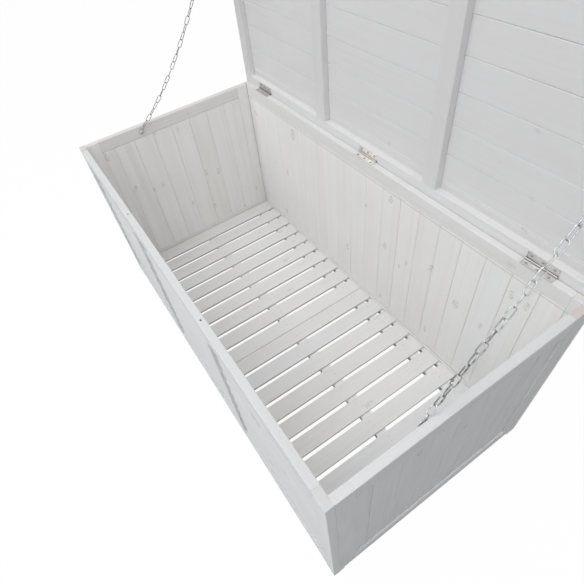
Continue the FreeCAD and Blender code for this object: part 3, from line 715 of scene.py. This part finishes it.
def wooden_pieces():
    """Every wooden node, rounded and glazed."""
    looks = wood_looks()
    finish = {}
    for node in sorted(NODES):
        if node.startswith(("hinge_", "chain_")) or "nails" in node:
            continue
        axis = grain_axis(node)
        number = next(n for n, (starts, _) in enumerate(looks) if node.startswith(starts))
        if (number, axis) not in finish:
            title = "glazed_pine_%s_%s" % (looks[number][0][0].rstrip("_") or "plain", axis.lower())
            finish[number, axis] = glazed_pine(title, axis, **looks[number][1])
        mesh = rounded_copy(node, WOOD_ROUND, axis)
        show(mesh, node + "_wood", [finish[number, axis]], body_for(node), [node])
    floor_strips()


def link_frames(node, start):
    """Centre, axes and size of every link of a chain, in order from its wall end."""
    frames = []
    for spots in island_spots(node):
        mean = spots.mean(0)
        _, axes = np.linalg.eigh(np.cov((spots - mean).T))
        axes = axes[:, ::-1].T
        local = (spots - mean) @ axes.T
        middle = mean + ((local.max(0) + local.min(0)) / 2) @ axes
        frames.append((middle, axes, local.max(0) - local.min(0)))
    return sorted(frames, key=lambda item: np.linalg.norm(item[0] - np.array(start)))


def rolled(axes, way, roll):
    """A link's axes, pointing along the chain and turned about its length."""
    along = axes[0] if axes[0] @ way > 0 else -axes[0]
    across = axes[1]
    third = np.cross(along, across)
    turned = math.cos(roll) * across + math.sin(roll) * third
    return np.array([along, turned, np.cross(along, turned)])


def link_mesh(made, middle, axes, size, shade_and_soil, shade_and_soil_level, wide):
    """Adds one welded link: a smooth wire loop with a weld bead halfway along one side."""
    wire = size[2] / 2 * LINK_WIRE_EASE
    rise = axes[:, 2]
    bend = (size[1] * wide - size[2]) / 2
    half = (size[0] - size[2]) / 2 - bend

    def round_end(centre, first):
        turns = [first + math.pi * k / LINK_BEND_STEPS for k in range(LINK_BEND_STEPS + 1)]
        return [(centre + bend * math.cos(turn), bend * math.sin(turn), math.cos(turn), math.sin(turn), 0.0)
                for turn in turns]

    # Points on the wire's middle line: along, across, the way out in both, and how much weld bead there is
    path = round_end(half, -math.pi / 2)
    path += [(half * 2 * share, bend, 0.0, 1.0, bead) for share, bead in LINK_BEAD]
    path += round_end(-half, math.pi / 2)
    path.append((0.0, -bend, 0.0, -1.0, 0.0))
    rings = []
    for along, across, out_a, out_b, bead in path:
        ring = []
        near_end = min(1.0, abs(along) / half) ** LINK_END_POWER
        radius = wire * (1 + LINK_BEAD_SWELL * bead + LINK_SIDE_SWELL * (1 - near_end))
        for k in range(LINK_SIDES):
            turn = 2 * math.pi * k / LINK_SIDES
            a = along + out_a * radius * math.cos(turn)
            b = across + out_b * radius * math.cos(turn)
            c = radius * math.sin(turn)
            spot = made.verts.new(Vector(middle + a * axes[0] + b * axes[1] + c * axes[2]))
            # Painted shade: flanks that face down or sideways are darker, the insides at the link ends too, and the
            # weld bead a little
            lift = out_a * math.cos(turn) * rise[0] + out_b * math.cos(turn) * rise[1] + math.sin(turn) * rise[2]
            under = shade_and_soil_level * min(1.0, max(0.0, (LINK_FLANK_LIFT - lift) / LINK_FLANK_SPAN))
            inside = max(0.0, -math.cos(turn)) * near_end * min(1.0, LINK_INSIDE_DARKENING + shade_and_soil_level)
            spot[shade_and_soil] = min(1.0, max(under, inside) + LINK_BEAD_SOIL * bead * shade_and_soil_level)
            ring.append(spot)
        rings.append(ring)
    for here, after in zip(rings, rings[1:] + rings[:1]):
        for k in range(LINK_SIDES):
            face = made.faces.new((here[k], after[k], after[(k + 1) % LINK_SIDES], here[(k + 1) % LINK_SIDES]))
            face.smooth = True


def link_soil(side, number):
    """How much painted shade a link's flanks get: little by the wall screw, most on the right chain's lower links."""
    if number < CHAIN_LESS_SHADED_LINKS[side]:
        return LESS_SHADED_LINK_SHADE
    if side == "left":
        return LEFT_LINK_SHADE
    first, last = SHADE_FADE_LINKS
    fade = min(1.0, max(0.0, (number - first) / (last - first)))
    return LOWER_LINK_SHADE + (UPPER_LINK_SHADE - LOWER_LINK_SHADE) * fade


def finished_mesh(made, name):
    """Turns a bmesh into a mesh with outward faces."""
    bmesh.ops.recalc_face_normals(made, faces=made.faces)
    mesh = bpy.data.meshes.new(name)
    made.to_mesh(mesh)
    made.free()
    return mesh


def chain(side, material):
    """One chain of smooth welded links in place of its CAD node."""
    node = "chain_" + side
    low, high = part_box("chain_wall_fixings")
    wall_end = Vector((low.x if side == "left" else high.x, (low.y + high.y) / 2, (low.z + high.z) / 2))
    frames = link_frames(node, wall_end)
    made = bmesh.new()
    shade_and_soil = made.verts.layers.float.new("shade_and_soil")
    way = frames[-1][0] - frames[0][0]
    for number, (middle, axes, size) in enumerate(frames):
        ends = number in (0, len(frames) - 1)
        roll = 0.0 if ends else CHAIN_TWIST * (CHAIN_LEVEL_LINK - number)
        wide = 1.0 if ends else LINK_WIDEN
        link_mesh(made, middle, rolled(axes, way, roll), size, shade_and_soil, link_soil(side, number), wide)
    mesh = finished_mesh(made, node + "_shape")
    piece = show(mesh, node + "_links", [material], replaces=[node])
    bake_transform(piece)


def lathe(made, shade_and_soil, centre, inward, profile, sides, closed=False):
    """Turns a profile of (radius, depth, darkening) about an axis; a closed profile makes a ring."""
    u = inward.orthogonal().normalized()
    v = inward.cross(u)
    rings = []
    for radius, depth, mark in profile:
        ring = []
        for k in range(sides):
            turn = 2 * math.pi * k / sides
            spot = made.verts.new(centre + (u * math.cos(turn) + v * math.sin(turn)) * radius + inward * depth)
            spot[shade_and_soil] = mark
            ring.append(spot)
        rings.append(ring)
    pairs = list(zip(rings, rings[1:]))
    if closed:
        pairs.append((rings[-1], rings[0]))
    for here, after in pairs:
        for k in range(sides):
            n = (k + 1) % sides
            face = made.faces.new((here[k], here[n], after[n], after[k]))
            face.smooth = True
    return rings


def cross_recess(made, shade_and_soil, centre, inward, rim, head, top, height):
    """Closes the top of a screw head with a cross-shaped driver recess."""
    reach, half, bottom = RECESS_REACH * head, RECESS_HALF * head, top + RECESS_DEPTH * height
    u = inward.orthogonal().normalized()
    v = inward.cross(u)
    outline = []
    for a, b in ((1, 0), (0, 1), (-1, 0), (0, -1)):
        outline += [(a * reach + b * half, b * reach - a * half), (a * reach - b * half, b * reach + a * half),
                    ((a - b) * half, (b + a) * half)]
    upper = [made.verts.new(centre + u * a + v * b + inward * top) for a, b in outline]
    lower = [made.verts.new(centre + (u * a + v * b) * RECESS_TAPER + inward * bottom) for a, b in outline]
    # Painted shade: the recess is darker at its bottom than at its rim
    for spot in lower:
        spot[shade_and_soil] = 1.0
    for spot in upper:
        spot[shade_and_soil] = 0.5
    count = len(outline)
    border = [made.edges.new((upper[k], upper[(k + 1) % count])) for k in range(count)]
    around = unique(edge for spot in rim for edge in spot.link_edges)
    border += [edge for edge in around if all(spot in rim for spot in edge.verts)]
    bmesh.ops.triangle_fill(made, use_beauty=True, edges=border, normal=-inward)
    for k in range(count):
        n = (k + 1) % count
        made.faces.new((upper[k], upper[n], lower[n], lower[k]))
    for k in range(0, count, 3):
        made.faces.new((lower[k], lower[k + 1], lower[k + 2], lower[k - 1]))
    made.faces.new([lower[k] for k in range(2, count, 3)])


def fastener_frame(spots):
    """Head centre, way into the wood, head and shank radius, length and head height of a CAD screw or nail."""
    low, high = spots.min(0), spots.max(0)
    axis = int(np.argmax(high - low))
    others = [i for i in range(3) if i != axis]
    middle = (low + high) / 2
    radius = {}
    for end in (low[axis], high[axis]):
        at_end = spots[np.abs(spots[:, axis] - end) < 1e-5]
        radius[end] = np.linalg.norm((at_end - middle)[:, others], axis=1).max()
    head, tip = sorted(radius, key=lambda end: -radius[end])
    inward = Vector((0, 0, 0))
    inward[axis] = 1.0 if tip > head else -1.0
    centre = Vector(middle)
    centre[axis] = head
    depths = sorted({round(abs(x - head), 5) for x in spots[:, axis]})
    return centre, inward, radius[head], radius[tip], depths[-1], depths[1]


def screws(node, material, raised):
    """Detailed screws in place of a CAD node's plain ones, and rounded washers where it has them."""
    made = bmesh.new()
    shade_and_soil = made.verts.layers.float.new("shade_and_soil")
    for spots in island_spots(node):
        size = spots.max(0) - spots.min(0)
        thin = int(np.argmin(size))
        if size[thin] < WASHER_SHARE * size.max() and size[thin] < WASHER_THICK:
            washer(made, shade_and_soil, spots, thin)
            continue
        centre, inward, head, stem, length, height = fastener_frame(spots)
        # Painted shade under the head and down the shank
        if raised:
            cover = head * 1.06
            profile = [(0.62 * head, -0.0004, 0.0), (0.85 * head, -0.00028, 0.0), (cover, -0.00004, 0.4),
                       (cover, 0.0002, 0.9), (stem, height, 0.5)]
        else:
            profile = [(0.58 * head, 0.0, 0.0), (0.80 * head, 0.10 * height, 0.0), (0.94 * head, 0.36 * height, 0.0),
                       (head, 0.70 * height, 0.1), (head, height, 0.7), (stem, height, 0.7)]
        top = profile[0][1]
        profile += [(stem, length - 3 * stem, 0.3), (0.12 * stem, length, 0.3)]
        rings = lathe(made, shade_and_soil, centre, inward, profile, SCREW_SIDES)
        made.faces.new(rings[-1])
        cross_recess(made, shade_and_soil, centre, inward, rings[0], head, top, height)
    mesh = finished_mesh(made, node + "_shape")
    mesh.set_sharp_from_angle(angle=SCREW_SHARP)
    show(mesh, node + "_heads", [material], body_for(node), [node])


def washer(made, shade_and_soil, spots, thin):
    """A flat washer with rounded edges."""
    low, high = spots.min(0), spots.max(0)
    middle = (low + high) / 2
    others = [i for i in range(3) if i != thin]
    away = np.linalg.norm((spots - middle)[:, others], axis=1)
    outer, inner, thick = away.max(), away.min(), (high - low)[thin]
    inward = Vector((0, 0, 0))
    inward[thin] = 1.0
    centre = Vector(middle)
    centre[thin] = low[thin]
    ease = 0.22 * thick
    # Painted shade round the hole, and a little at the outer edge
    profile = [(inner, ease, 0.6), (inner + ease, 0, 0.6), (outer - ease, 0, 0.0), (outer, ease, 0.1),
               (outer, thick - ease, 0.1), (outer - ease, thick, 0.0), (inner + ease, thick, 0.6),
               (inner, thick - ease, 0.6)]
    lathe(made, shade_and_soil, centre, inward, profile, SCREW_SIDES, closed=True)


def rail_nails(material):
    """The two nails in the front rail."""
    made = bmesh.new()
    shade_and_soil = made.verts.layers.float.new("shade_and_soil")
    for spots in island_spots("front_rail_nails"):
        centre, inward, head, stem, length, height = fastener_frame(spots)
        # Darker in the middle of the head and under it
        profile = [(0.05 * head, 0.0, 1.0), (0.75 * head, 0.0001, 0.8), (head, 0.0004, 0.9), (head, height, 0.5),
                   (stem, height, 0.3), (stem, length - 3 * stem, 0.3), (0.12 * stem, length, 0.3)]
        rings = lathe(made, shade_and_soil, centre, inward, profile, NAIL_SIDES)
        made.faces.new(rings[0])
        made.faces.new(rings[-1])
    mesh = finished_mesh(made, "front_rail_nails_shape")
    show(mesh, "front_rail_nails_heads", [material], "box", ["front_rail_nails"])


def slat_nail_spots():
    """Where the slats' small nails sit: pairs over each bearer, with some left out."""
    dice = random.Random("slat nails")
    found = []
    for side in ("left", "right"):
        lines = [(spots[:, 1].min() + spots[:, 1].max()) / 2 for spots in island_spots("floor_bearers_" + side)]
        for slat in island_spots("floor_slats_" + side):
            low, high = slat.min(0), slat.max(0)
            shift = slat_shift((low[0] + high[0]) / 2)
            for line, share, step in itertools.product(lines, SLAT_NAIL_SHARES, SLAT_NAIL_STEPS):
                stray = dice.uniform(-SLAT_NAIL_STRAY, SLAT_NAIL_STRAY)
                x = low[0] + shift + (high[0] - low[0]) * (share + stray)
                y = line + step + dice.uniform(-SLAT_NAIL_DRIFT, SLAT_NAIL_DRIFT)
                if dice.random() >= SLAT_NAIL_MISSING:
                    found.append(Vector((x, y, high[2] - SLAT_NAIL_SINK)))
    return found


def slat_nails(material):
    """The heads of the small nails along the slats."""
    made = bmesh.new()
    shade_and_soil = made.verts.layers.float.new("shade_and_soil")
    # The heads are darker all over, most at the middle and the rim
    profile = [(0.1 * SLAT_NAIL, -0.00062, 0.7), (0.8 * SLAT_NAIL, -0.00066, 0.6), (SLAT_NAIL, -0.0005, 0.8),
               (0.8 * SLAT_NAIL, 0.0004, 0.5)]
    for place in slat_nail_spots():
        rings = lathe(made, shade_and_soil, place, Vector((0, 0, -1)), profile, SLAT_NAIL_SIDES)
        made.faces.new(rings[0])
        made.faces.new(rings[-1])
    show(finished_mesh(made, "floor_nails_shape"), "floor_nails", [material], "box")


def hinge_piece(node, material, shade_and_soil_level):
    """A hinge leaf or pin with eased edges, with painted shade in and along its barrel."""
    mesh = rounded_copy(node, METAL_ROUND)
    mesh.shade_smooth()
    mesh.set_sharp_from_angle(angle=HINGE_SHARP)
    shade_and_soil = mesh.attributes.new("shade_and_soil", "FLOAT", "FACE")
    for face in mesh.polygons:
        # Painted shade on the barrel's faces, less on those that look up and to the front
        away = math.hypot(face.center.y - HINGE[1], face.center.z - HINGE[2])
        shown = face.normal.z - face.normal.y
        depth = BARREL_TOP_SHADE if shown > BARREL_TOP_FACING else BARREL_SHADE
        shade_and_soil.data[face.index].value = 0.0 if away > BARREL_REACH else shade_and_soil_level * depth
    show(mesh, node + "_plate", [material], body_for(node), [node])


def metal_pieces():
    """Hinges, screws, nails, chains and their fixings."""
    hinge = zinc("hinge_zinc", (0.615, 0.607, 0.594), 0.36, 0.46, True, 0.85, 0.0)
    # A lighter, creamier zinc for the middle hinge: a painted reflection
    painted_reflection_zinc = zinc("hinge_zinc_painted_reflection", (0.84, 0.82, 0.785), 0.36, 0.46, True, 0.85, 0.0)
    links = zinc("chain_zinc_wire", (0.66, 0.67, 0.68), 0.20, 0.34, False, 0.94, 0.15)
    fixings = zinc("fixing_zinc", (0.63, 0.63, 0.615), 0.50, 0.60, False, 0.25, 0.05)
    steel = dark_steel("screw_steel_heads", (0.42, 0.415, 0.405), (0.54, 0.535, 0.525))
    iron = dark_steel("nail_iron", (0.17, 0.13, 0.11), (0.26, 0.20, 0.17))
    painted = dark_steel("slat_nail_iron", (0.56, 0.50, 0.45), (0.64, 0.59, 0.54))
    for node in sorted(NODES):
        if node.startswith("hinge_") and "screws" not in node:
            is_middle = node.startswith("hinge_middle")
            hinge_piece(node, painted_reflection_zinc if is_middle else hinge, MIDDLE_HINGE_SHADE if is_middle else 1.0)
    screws("hinge_wall_screws", steel, True)
    screws("hinge_lid_screws", steel, True)
    screws("chain_wall_fixings", fixings, False)
    screws("chain_lid_fixings", fixings, False)
    rail_nails(iron)
    slat_nails(painted)
    for side in ("left", "right"):
        chain(side, links)


def shown_rays(tree):
    """One where the ray is seen straight, in a mirror or through glass."""
    path = tree.nodes.new("ShaderNodeLightPath").outputs
    total = path["Is Camera Ray"]
    for name in ("Is Glossy Ray", "Is Transmission Ray"):
        add = tree.nodes.new("ShaderNodeMath")
        add.operation = "MAXIMUM"
        tree.links.new(total, add.inputs[0])
        tree.links.new(path[name], add.inputs[1])
        total = add.outputs[0]
    return total


def studio_floor():
    """A wide floor that shows white with a faint shadow, and bounces a share of the light."""
    reach = FLOOR_REACH
    mesh = bpy.data.meshes.new("studio_floor")
    corners = [(-reach, -reach, 0), (reach, -reach, 0), (reach, reach, 0), (-reach, reach, 0)]
    mesh.from_pydata(corners, [], [(0, 1, 2, 3)])
    floor = bpy.data.objects.new("studio_floor", mesh)
    bpy.context.scene.collection.objects.link(floor)
    paint = Paint("studio_floor_paper")
    seen = shown_rays(paint.tree)
    level = paint.span(seen, 0.0, 1.0, FLOOR_BOUNCE, FLOOR_WHITE, smooth=False)
    paper = paint.node("ShaderNodeBsdfDiffuse", {"Color": paint.join(level, level, level)})
    white = paint.node("ShaderNodeEmission", {"Strength": 1.0})
    mixed = paint.node("ShaderNodeMixShader", {0: paint.times(seen, 1.0 - FLOOR_SHADOW)})
    paint.tree.links.new(paper.outputs[0], mixed.inputs[1])
    paint.tree.links.new(white.outputs[0], mixed.inputs[2])
    paint.tree.links.new(mixed.outputs[0], paint.out.inputs["Surface"])
    mesh.materials.append(paint.material)


def studio_world():
    """A soft grey surround for light, white where it is seen."""
    world = bpy.data.worlds.new("studio")
    bpy.context.scene.world = world
    world.use_nodes = True
    tree = world.node_tree
    tree.nodes.clear()
    out = tree.nodes.new("ShaderNodeOutputWorld")
    soft = tree.nodes.new("ShaderNodeBackground")
    soft.inputs["Color"].default_value = (*SURROUND_COLOUR, 1)
    soft.inputs["Strength"].default_value = SURROUND_LEVEL
    white = tree.nodes.new("ShaderNodeBackground")
    white.inputs["Color"].default_value = (1, 1, 1, 1)
    white.inputs["Strength"].default_value = 1.0
    mix = tree.nodes.new("ShaderNodeMixShader")
    tree.links.new(shown_rays(tree), mix.inputs[0])
    tree.links.new(soft.outputs[0], mix.inputs[1])
    tree.links.new(white.outputs[0], mix.inputs[2])
    tree.links.new(mix.outputs[0], out.inputs["Surface"])


def lamp(name, place, target, size, power):
    """A large soft panel light."""
    data = bpy.data.lights.new(name, "AREA")
    data.shape = "SQUARE"
    data.size = size
    data.energy = power
    data.color = LAMP_COLOUR
    thing = bpy.data.objects.new(name, data)
    thing.location = place
    thing.rotation_euler = (Vector(target) - Vector(place)).to_track_quat("-Z", "Y").to_euler()
    bpy.context.scene.collection.objects.link(thing)


def photo_camera():
    """The camera at the picture's viewpoint."""
    forward = Vector((math.sin(CAMERA_TURN) * math.cos(CAMERA_DIP), math.cos(CAMERA_TURN) * math.cos(CAMERA_DIP),
                      -math.sin(CAMERA_DIP)))
    right = forward.cross(Vector((0, 0, 1))).normalized()
    up = right.cross(forward)
    turned = math.cos(CAMERA_ROLL) * right + math.sin(CAMERA_ROLL) * up
    upright = -math.sin(CAMERA_ROLL) * right + math.cos(CAMERA_ROLL) * up
    data = bpy.data.cameras.new("photo_camera")
    data.sensor_fit = "HORIZONTAL"
    data.sensor_width = SENSOR
    data.lens = FOCAL_PIXELS / IMAGE_SIZE * SENSOR
    data.shift_x = (IMAGE_SIZE / 2 - CENTRE_PIXELS[0]) / IMAGE_SIZE
    data.shift_y = (CENTRE_PIXELS[1] - IMAGE_SIZE / 2) / IMAGE_SIZE
    data.clip_start = 0.02
    data.clip_end = 60
    camera = bpy.data.objects.new("photo_camera", data)
    bpy.context.scene.collection.objects.link(camera)
    turn = Matrix((turned, upright, -forward)).transposed().to_4x4()
    camera.matrix_world = Matrix.Translation(CAMERA_PLACE) @ turn
    bpy.context.scene.camera = camera


def main():
    """Builds every piece, the studio and the camera."""
    wooden_pieces()
    metal_pieces()
    studio_floor()
    studio_world()
    for settings in LAMPS:
        lamp(*settings)
    photo_camera()
    bpy.context.scene.view_settings.view_transform = "Standard"


main()
